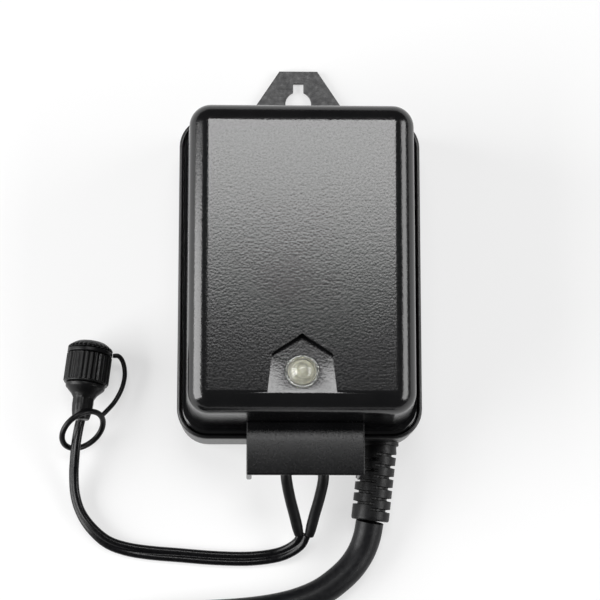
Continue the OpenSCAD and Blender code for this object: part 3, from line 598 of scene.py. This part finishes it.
def coil_points():
    """Turns of the stored coil: two side by side, two above them and a last half turn on top."""
    first, turns, per_turn = math.radians(112), 4.5, 48
    outer, inner = COIL_R + CORD_D / 2, COIL_R - CORD_D / 2
    low, high, top = CORD_Z, CORD_Z + CORD_D, TAIL_RUN[0][1]
    # (turn at which it is reached, radius, height)
    stages = [(0, outer, low), (0.74, outer, low), (0.98, inner, low), (1.80, inner, low),
              (2.0, inner, high), (2.78, inner, high), (3.0, outer, high), (3.75, outer, high),
              (4.0, COIL_R, top), (turns, COIL_R, top)]
    points = []
    for k in range(1, int(turns * per_turn)):
        turn = k / per_turn
        for (t0, r0, z0), (t1, r1, z1) in zip(stages, stages[1:]):
            if t0 <= turn <= t1:
                f = (turn - t0) / (t1 - t0)
                f = f * f * (3 - 2 * f)
                r, z = r0 + (r1 - r0) * f, z0 + (z1 - z0) * f
        a = first + 2 * math.pi * turn
        points.append(COIL_AT + Vector((r * math.cos(a), r * math.sin(a), z)))
    return points


def tail_points():
    """Loose end from the coil to the plug."""
    return [TAIL_START + TAIL_HEADING * d + UP * z for d, z in TAIL_RUN]


def add_mains_cord(plug_pieces):
    start = smoothed(CORD_ROUTE, 8)
    points = start + coil_points() + smoothed(tail_points(), 6)
    cord = curve_piece("mains_cord", points, CORD_D / 2)
    dressed(cord, "cord", "case",
            ["mains_cord_run", "mains_cord_coil", "mains_cord_tail"])


# ---- Output lead ----

def two_core(i, n):
    """Section of two round cores side by side, joined by a web."""
    r, gap, web = LEAD_T / 2, (LEAD_W - LEAD_T) / 2, 0.62 * LEAD_T / 2
    points, sides = [], 48
    for k in range(sides):
        a = 2 * math.pi * k / sides
        x = LEAD_W / 2 * math.cos(a)
        over = abs(x) - gap
        high = math.sqrt(max(0.0, r * r - over * over)) if abs(over) < r else 0.0
        if abs(x) < gap:
            high = max(high, web)
        points.append((x, math.copysign(high, math.sin(a)) if abs(math.sin(a)) > 1e-9 else 0.0))
    return points


def add_output_lead(pieces):
    """The lead rolls on to its edge along the way, and is lifted off the floor where it does."""
    steps, lift = 5, UP * 0.3 * MM
    rolls = [LEAD_ROLL * min(1, max(0, (i / steps - ROLL_START) / ROLL_STRETCH))
             for i in range(steps * (len(LEAD_ROUTE) - 1) + 1)]
    route = [p + lift * math.sin(2 * roll) ** 2
             for p, roll in zip(smoothed(LEAD_ROUTE, steps), rolls)]
    lead = sweep("output_lead_fine", route, two_core, rolls, sharp=60)
    dressed(lead, "lead", "case", ["output_lead"])


def add_sleeve(name, route, node):
    points = smoothed(route, 5)
    sleeve = sweep(name, points, oval(SLEEVE_R, SLEEVE_R))
    return dressed(sleeve, "sleeve", "case", [node])


# ---- Connector, cap and tether ----

MOUTH_AT = Vector((-0.0813, -0.0449, 0.0102))
CONNECTOR = Matrix.Translation(MOUTH_AT) @ Matrix.Rotation(math.radians(-6.5), 4, "Z") \
    @ Matrix.Rotation(math.radians(-95), 4, "X")
CAP_RIBS = 28


def add_connector_body():
    outline = [(0, -13.5), (3.1, -13.5), (3.4, -12.6), (3.9, -10.4), (4.1, -8), (4.1, -5.5),
               (5.0, -3.9), (6.6, -2.3), (7.4, -1.5), (7.6, -0.2), (6.6, -0.2), (6.6, 1),
               (5.8, 1), (5.8, 2.4), (6.6, 2.4), (6.6, 3.0), (6.25, 3.5), (6.6, 4.2), (6.25, 4.9),
               (6.6, 5.6), (6.25, 6.3), (6.6, 7.0), (6.25, 7.7), (6.6, 8.4), (6.3, 10), (0, 10)]
    flutes = 10

    def relief(angle, z):
        if -10.8 * MM < z < -4.6 * MM:
            return -0.16 * MM * (0.5 + 0.5 * math.cos(flutes * angle))
        return 0.0
    body = turned("connector_body_fine", softened(scaled(outline), 0.35 * MM), CONNECTOR, 80, relief)
    return dressed(body, "connector", "case", ["connector_body"])


def add_dust_cap():
    outer = [(0, 17), (3.2, 16.9), (5.6, 16.3), (7.2, 15.3), (8.1, 14.2), (8.3, 13.4), (7.6, 13.4),
             (7.6, 11.4), (8.3, 11.4), (8.3, 10.2), (8.3, 0.9), (8.3, 0.1)]
    inner = [(6.8, 0.1), (6.7, 1.2), (6.7, 11), (0, 11)]

    def relief(angle, z):
        if 0.8 * MM < z < 11.2 * MM or 13.3 * MM < z < 15 * MM:
            wave = 0.5 + 0.5 * math.cos(CAP_RIBS * angle)
            return (0.5 * wave ** 0.7 - 0.12) * MM
        return 0.0
    outline = softened(scaled(outer + inner), 0.3 * MM, 3)
    cap = turned("dust_cap_fine", outline, CONNECTOR, CAP_RIBS * 12, relief)
    return dressed(cap, "connector", "dust_cap", ["dust_cap"])


def add_tether():
    collar_out = [(7.75, 11.6), (8.3, 11.6), (8.6, 11.8), (8.6, 13.0), (8.3, 13.2), (7.75, 13.2)]
    collar = turned("cap_tether_fine", softened(scaled([*collar_out, collar_out[0]]), 0.15 * MM),
                    CONNECTOR, 72)
    open_ends(collar)
    ring_place = Matrix.Translation((-0.0821, -0.0622, 0.010)) \
        @ Matrix.Rotation(math.radians(37.7), 4, "Z") @ Matrix.Rotation(math.radians(57), 4, "X")
    ring = ring_tube("tether_ring", 8.7 * MM, 1.1 * MM, ring_place)
    strap = sweep("tether_strap", smoothed(STRAP_ROUTE, 6), oval(0.9 * MM, 1.2 * MM, 24))
    for other in (ring, strap):
        merge_into(collar, other)
    tidied(collar, 45)
    return dressed(collar, "tether", "cap_tether", ["cap_tether"])


def open_ends(piece):
    """Takes away the many-sided end faces of a turned ring, whose outline closes on itself."""
    work = bmesh.new()
    work.from_mesh(piece.data)
    bmesh.ops.delete(work, geom=[f for f in work.faces if len(f.verts) > 4], context="FACES_ONLY")
    bmesh.ops.remove_doubles(work, verts=work.verts, dist=1e-6)
    bmesh.ops.recalc_face_normals(work, faces=work.faces)
    work.to_mesh(piece.data)
    work.free()


def ring_tube(name, big_r, small_r, place):
    """Ring of round section about Z."""
    points, faces = [], []
    sides, round_sides = 72, 18
    for i in range(sides):
        a = 2 * math.pi * i / sides
        for k in range(round_sides):
            b = 2 * math.pi * k / round_sides
            r = big_r + small_r * math.cos(b)
            points.append(place @ Vector((r * math.cos(a), r * math.sin(a), small_r * math.sin(b))))
            here, there = i * round_sides, (i + 1) % sides * round_sides
            step = (k + 1) % round_sides
            faces.append([here + k, there + k, there + step, here + step])
    return new_piece(name, points, faces)


def merge_into(piece, other):
    """Adds another closed mesh to a piece's own."""
    work = bmesh.new()
    work.from_mesh(piece.data)
    work.from_mesh(other.data)
    work.to_mesh(piece.data)
    work.free()
    bpy.data.objects.remove(other)


# ---- Case ----

def recess_place():
    """Matrix that stands the recess's outline on its leaning floor."""
    return Matrix.Translation((0, RECESS_FOOT_Y, CASE_TOP)) @ Matrix.Rotation(-RECESS_LEAN, 4, "X")


def lens_place():
    return Matrix.Translation((0, LENS_Y, LENS_Z)) @ Matrix.Rotation(-RECESS_LEAN, 4, "X")


def recess_prism(name, low, high, grow=0.0):
    """House-shaped prism that stands on the recess's leaning floor, wider all round by grow."""
    half, shoulder = RECESS_W / 2 + grow, SHOULDER_W / 2 + grow
    outline = [(-half, -grow), (half, -grow), (shoulder, RECESS_L - SHOULDER_DROP),
               (0, RECESS_L + grow), (-shoulder, RECESS_L - SHOULDER_DROP)]
    place = recess_place()
    floor = [place @ Vector((x, y, low)) for x, y in outline]
    return loft(name, [floor, [p + UP * (high - low) for p in floor]])


def cover_solid(name, inset, rim=False):
    """Solid of the cover's outer or inner form, drafted and with rounded front edges."""
    r = COVER_EDGE - inset / 2
    top = CASE_TOP - inset
    sizes = dict(width=COVER_W - 2 * inset, length=COVER_L - 2 * inset, middle=(0, COVER_Y))
    foot_r = COVER_CORNER_R - inset / 2
    rings = []
    if rim:
        for edge, z in ((1.8, 21.4), (1.8, 23.3), (2.1, 23.6)):
            rings.append(plate_ring(edge * MM, (FLANGE_CORNER_R - edge) * MM, z * MM))
        edge, wall_foot = rings[-1], plate_ring(0, foot_r, COVER_RIM_TOP, **sizes)
        for k in range(FILLET_STEPS - 1, -1, -1):  # hollow fillet from the rim up to the wall
            out = k / FILLET_STEPS
            rise = UP * FILLET_H * (1 - out) ** 2
            rings.append([a.lerp(b, out) + rise for a, b in zip(wall_foot, edge)])
    else:
        rings.append(plate_ring(0, foot_r, COVER_FOOT - 0.5 * MM, **sizes))
    lean = math.atan(COVER_DRAFT / (top - r - COVER_FOOT))
    steps = 14
    for k in range(steps + 1):
        a = lean + (math.pi / 2 - lean) * k / steps
        rings.append(plate_ring(COVER_DRAFT + r - r * math.cos(a), r * math.cos(a),
                                top - r + r * math.sin(a), **sizes))
    return loft(name, rings)


def add_cover():
    """Front cover: hollow, with the recess's pocket, four screw bosses, the lens seat and a slot
    for the terminals."""
    cover = cover_solid("cover_fine", 0, rim=True)
    combined(cover, "DIFFERENCE", cover_solid("hollow", WALL))
    pocket = recess_prism("pocket", -WALL, 14 * MM, WALL)
    combined(pocket, "INTERSECT", cover_solid("limit", WALL / 2))
    combined(cover, "UNION", pocket)
    for x, y in BOSS_PLACES:
        boss = rod("boss", (x, y, COVER_FOOT + 0.2 * MM), 3.6 * MM, 33 * MM)
        combined(boss, "DIFFERENCE", rod("hole", (x, y, COVER_FOOT), 1.55 * MM, 18 * MM))
        combined(cover, "UNION", boss)
    combined(cover, "DIFFERENCE", recess_prism("recess", 0, 20 * MM))
    place = lens_place()
    for r, low in ((6.4, -1.2), (4.15, -8)):
        outline = [(0, low * MM), (r * MM, low * MM), (r * MM, 12 * MM), (0, 12 * MM)]
        combined(cover, "DIFFERENCE", turned("seat", outline, place, 64))
    combined(cover, "DIFFERENCE", slab("slot", (-9.4, -68, 28.3), (13, -57, 36.3)))
    bevelled(cover, 0.32 * MM, 3, 36, 50)
    return dressed(cover, "case", "case", ["front_cover"])


def add_tray():
    """Rear tray: drafted box, rounded flange, upstand round the cover and hollow inside."""
    profile = [(1.6, 9.9, 0), (0.8, 10.7, 0.35), (0.4, 11.1, 1.3), (0.4, 11.1, 17.1),
               (0.3, 11.2, 17.5), (0.1, 11.4, 17.9), (0, 11.5, 18.3),
               (0, 11.5, 23.0), (0.12, 11.4, 23.6), (0.42, 11.1, 24.05), (0.8, 10.8, 24.2),
               (1.2, 10.4, 24.1), (1.5, 10.0, 23.7), (1.5, 10.0, 19.6), (5.4, 6.6, 19.6),
               (5.4, 6.6, 16.4), (2.8, 8.7, 16.4), (2.8, 8.7, 3.4), (3.2, 8.5, 2.6),
               (4.0, 8.0, 2.4)]
    tray = loft("rear_tray_fine", [plate_ring(inset * MM, r * MM, z * MM) for inset, r, z in profile])
    top_y = CASE_Y / MM + 63
    combined(tray, "DIFFERENCE", slab("pocket", (-22.15, 23.85, -1), (22.15, top_y, 2.15)))
    combined(tray, "DIFFERENCE", slab("shoulder", (-27.6, top_y - 7, -1.1), (27.6, top_y + 1, 2.16)))
    for x, y in BOSS_PLACES:
        combined(tray, "UNION", rod("boss", (x, y, 1.4 * MM), 3.6 * MM, 19.7 * MM))
        combined(tray, "DIFFERENCE", rod("well", (x, y, -MM), 3.3 * MM, 3.2 * MM))
        combined(tray, "DIFFERENCE", rod("hole", (x, y, -MM), 1.56 * MM, 30 * MM))
    gland = rod("gland", (GLAND_X, GLAND_Y, GLAND_Z), 5.55 * MM, 8 * MM, NORTH)
    combined(tray, "DIFFERENCE", gland)
    bevelled(tray, 0.25 * MM, 2, 40, 50)
    return dressed(tray, "tray", "case", ["rear_tray"])


def add_lens():
    """Clear dome on a flange, with a stem down to the light cell and a milky core."""
    place, dome_r, dome_z = lens_place(), 5.3, 0.1
    dome = [(0, -0.85), (6.2, -0.85), (6.25, 0.0), (5.9, 0.12), (5.45, dome_z)]
    dome += [(dome_r * math.cos(math.radians(a)), dome_z + dome_r * math.sin(math.radians(a)))
             for a in range(6, 90, 6)] + [(0, dome_z + dome_r)]
    lens = turned("sensor_lens_dome", scaled(dome), place, 64, sharp=50)
    dressed(lens, "lens", "case", ["sensor_lens"])
    steps = [(0, -5.0), (3.9, -5.0), (3.9, -0.95), (0, -0.95)]
    stem = turned("sensor_lens_stem", softened(scaled(steps), 0.2 * MM), place, 48)
    dressed(stem, "milky", "case")
    core = [(0, -0.6), (4.2, -0.6), (4.2, -0.1), (3.5, 0.1), (3.2, -0.2), (2.8, 1.0), (2.1, 0.7),
            (1.3, 2.2), (0, 2.5)]
    heart = turned("sensor_lens_core", softened(scaled(core), 0.15 * MM), place, 48)
    dressed(heart, "milky", "case")
    return lens


# ---- Cord grip, tie and plug ----

def add_grip():
    """Ribbed strain relief: slots half way round, on one side and then on the other."""
    length, r, slot_depth = 29.4, 7.2, 1.7
    at = Matrix.Translation((GLAND_X, GLAND_Y, GLAND_Z)) \
        @ Matrix.Rotation(math.radians(-6.6), 4, "Z") @ Matrix.Rotation(math.radians(94.1), 4, "X")
    pitch, slot_half, slope, first = 2.1, 0.36, 0.25, 4.2
    slots = [(first + i * pitch, 1 if i % 2 == 0 else -1) for i in range(11)]

    def relief(angle, z):
        deepest = 0.0
        for middle, side in slots:
            away = abs(z / MM - middle)
            if away < slot_half + slope:
                across = side * math.cos(angle - math.radians(12) * side)
                window = min(1, max(0, (across - 0.12) * 5))
                walls = min(1, (slot_half + slope - away) / slope)
                deepest = max(deepest, window * walls)
        return -slot_depth * MM * deepest
    heights = {0.0, 0.4, length - 1.0, length - 0.5, length - 0.2, length}
    for middle, _ in slots:
        for offset in (-slot_half - slope, -slot_half, 0, slot_half, slot_half + slope):
            heights.add(round(middle + offset, 3))
    for k in range(int(length)):
        heights.add(float(k))

    def wide(z):
        if z > length - 1.0:
            return r - 0.55 * (1 - math.sqrt(max(0, 1 - (z - length + 1.0) ** 2)))
        return r if z > 3 else r - 0.15 * (3 - z)
    outline = [(0, 0)] + [(wide(z) * MM, z * MM) for z in sorted(heights)]
    outline += [(5.9 * MM, length * MM), (5.5 * MM, (length - 0.5) * MM), (0, (length - 0.5) * MM)]
    grip = turned("cord_grip_fine", outline, at, 72, relief, 40)
    collar_place = Matrix.Translation((GLAND_X, GLAND_Y + 0.4 * MM, GLAND_Z)) \
        @ Matrix.Rotation(math.radians(90), 4, "X")
    collar = [(0, -6.1), (6.3, -6.1), (6.3, -4.8), (5.4, -4.8), (5.4, 0.05), (7.6, 0.05),
              (7.6, 1.6), (0, 1.6)]
    merge_into(grip, turned("collar", softened(scaled(collar), 0.3 * MM), collar_place, 64))
    tidied(grip, 40)
    return dressed(grip, "grip", "case", ["cord_grip"])


PLUG_AT = TAIL_START + TAIL_HEADING * 0.070 + UP * TAIL_RUN[-1][1]


def add_plug():
    """Round plug with a ribbed grip, a corrugated sleeve on the cord and two earth notches."""
    outline = [(0, 0.1), (5.6, 0.1), (6.6, 0.5), (6.7, 4), (7.2, 10), (7.8, 12.6), (11.0, 16.6),
               (12.2, 18.6), (12.8, 24), (13.4, 30), (15.0, 33.2), (18.0, 35.6), (19.0, 37.2),
               (19.0, 45.3), (18.4, 46), (0, 46)]
    place = Matrix.Translation(PLUG_AT) @ Matrix.Rotation(TAIL_TURN, 4, "Z") \
        @ Matrix.Rotation(math.pi / 2, 4, "Y")

    def relief(angle, z):
        if 18.8 * MM < z < 29.8 * MM:
            return -0.45 * MM * (0.5 + 0.5 * math.cos(16 * angle)) ** 2
        if 1.5 * MM < z < 11 * MM:
            return -0.5 * MM * (0.5 + 0.5 * math.cos(z / MM * 2.6)) ** 3
        return 0.0
    fine, longest, level = [], 0.45 * MM, 0.2 * MM
    points = softened(scaled(outline), 0.6 * MM)
    for a, b in zip(points, points[1:]):  # more rings where the relief needs them
        count = max(1, int((b - a).length / longest)) if abs(b[1] - a[1]) >= level else 1
        fine += [a.lerp(b, k / count) for k in range(count)]
    fine.append(points[-1])
    plug = turned("plug_body_fine", fine, place, 96, relief)
    for side in (-1, 1):
        notch = slab("notch", (-5, -3.5, -1.3), (5, 3.5, 1.3))
        notch.data.transform(place @ Matrix.Translation((side * 17.8 * MM, 0, 43 * MM))
                             @ Matrix.Rotation(math.pi / 2, 4, "Y"))
        combined(plug, "DIFFERENCE", notch)
    tidied(plug, 40)
    return dressed(plug, "plug", "case", ["plug_body"])


# ---- CAD nodes kept or given rounded edges ----

ROUNDED = [  # node, rounding in millimetres, material, slot, body, steps, least edge angle
    ("hanger_plate", 0.25, "paint", "black_paint", "case"),
    ("terminal_hood", 0.6, "hood", "hood_plastic", "case", 3, 10),
    ("terminal_block", 0.4, "cutout", "hood_plastic", "case"),
    ("terminal_plates", 0.12, "brass", "brass", "case"),
    ("wire_lugs", 0.1, "tinned", "tinned_copper", "case"),
    ("washer_left", 0.12, "screw", "screw_steel", "washer_left"),
    ("washer_right", 0.12, "screw", "screw_steel", "washer_right"),
    ("screw_left", 0.15, "screw", "screw_steel", "screw_left"),
    ("screw_right", 0.15, "screw", "screw_steel", "screw_right"),
    ("case_screws", 0.12, "screw", "screw_steel", "case"),
    ("hanger_screws", 0.12, "screw", "screw_steel", "case"),
    ("cord_tie", 0.5, "tie", "tie_strap", "case"),
    ("plug_pins", 0.3, "pin", "plug_metal", "case"),
    ("plug_earth_clips", 0.25, "pin", "plug_metal", "case"),
]
KEPT = {  # node: material
    "case_gasket": "seal", "lens_seal": "seal", "lens_clip": "spring", "light_cell": "cell",
    "sensor_board": "board", "relay": "relay", "capacitor": "capacitor",
    "board_parts": "resistor", "board_screws": "screw", "transformer_core": "core",
    "winding_former": "former", "primary_winding": "copper", "secondary_winding": "copper",
    "transformer_saddle": "spring", "transformer_screws": "screw",
    "overload_cutout": "cutout", "mains_wires": "wire", "outlet_wires": "wire",
    "switch_wires": "wire", "connector_contacts": "brass", "connector_seal": "seal",
}


def dress_kept_nodes():
    for node, material in KEPT.items():
        mesh = nodes[node].data
        mesh.materials.clear()
        mesh.materials.append(MATERIALS[material])


def add_floor():
    """Wide floor just below the case, so that the two don't share a plane."""
    half = 6.0
    corners = [(x * half, y * half, 0) for x, y in ((-1, -1), (1, -1), (1, 1), (-1, 1))]
    floor = new_piece("floor", corners, [[0, 1, 2, 3]])
    floor.location.z = -0.1 * MM
    floor.data.materials.append(MATERIALS["floor"])


add_camera()
fine = {row[0]: rounded_copy(*row) for row in ROUNDED}
add_mains_cord([add_plug(), fine["plug_pins"], fine["plug_earth_clips"], fine["cord_tie"]])
sleeves = [add_sleeve("sleeve_left_fine", LEFT_BRANCH, "sleeve_left"),
           add_sleeve("sleeve_right_fine", RIGHT_BRANCH, "sleeve_right")]
add_output_lead([add_connector_body(), add_dust_cap(), add_tether(), *sleeves,
                 nodes["connector_contacts"], nodes["connector_seal"]])
add_cover()
add_tray()
add_lens()
add_grip()
dress_kept_nodes()
add_floor()
add_light()
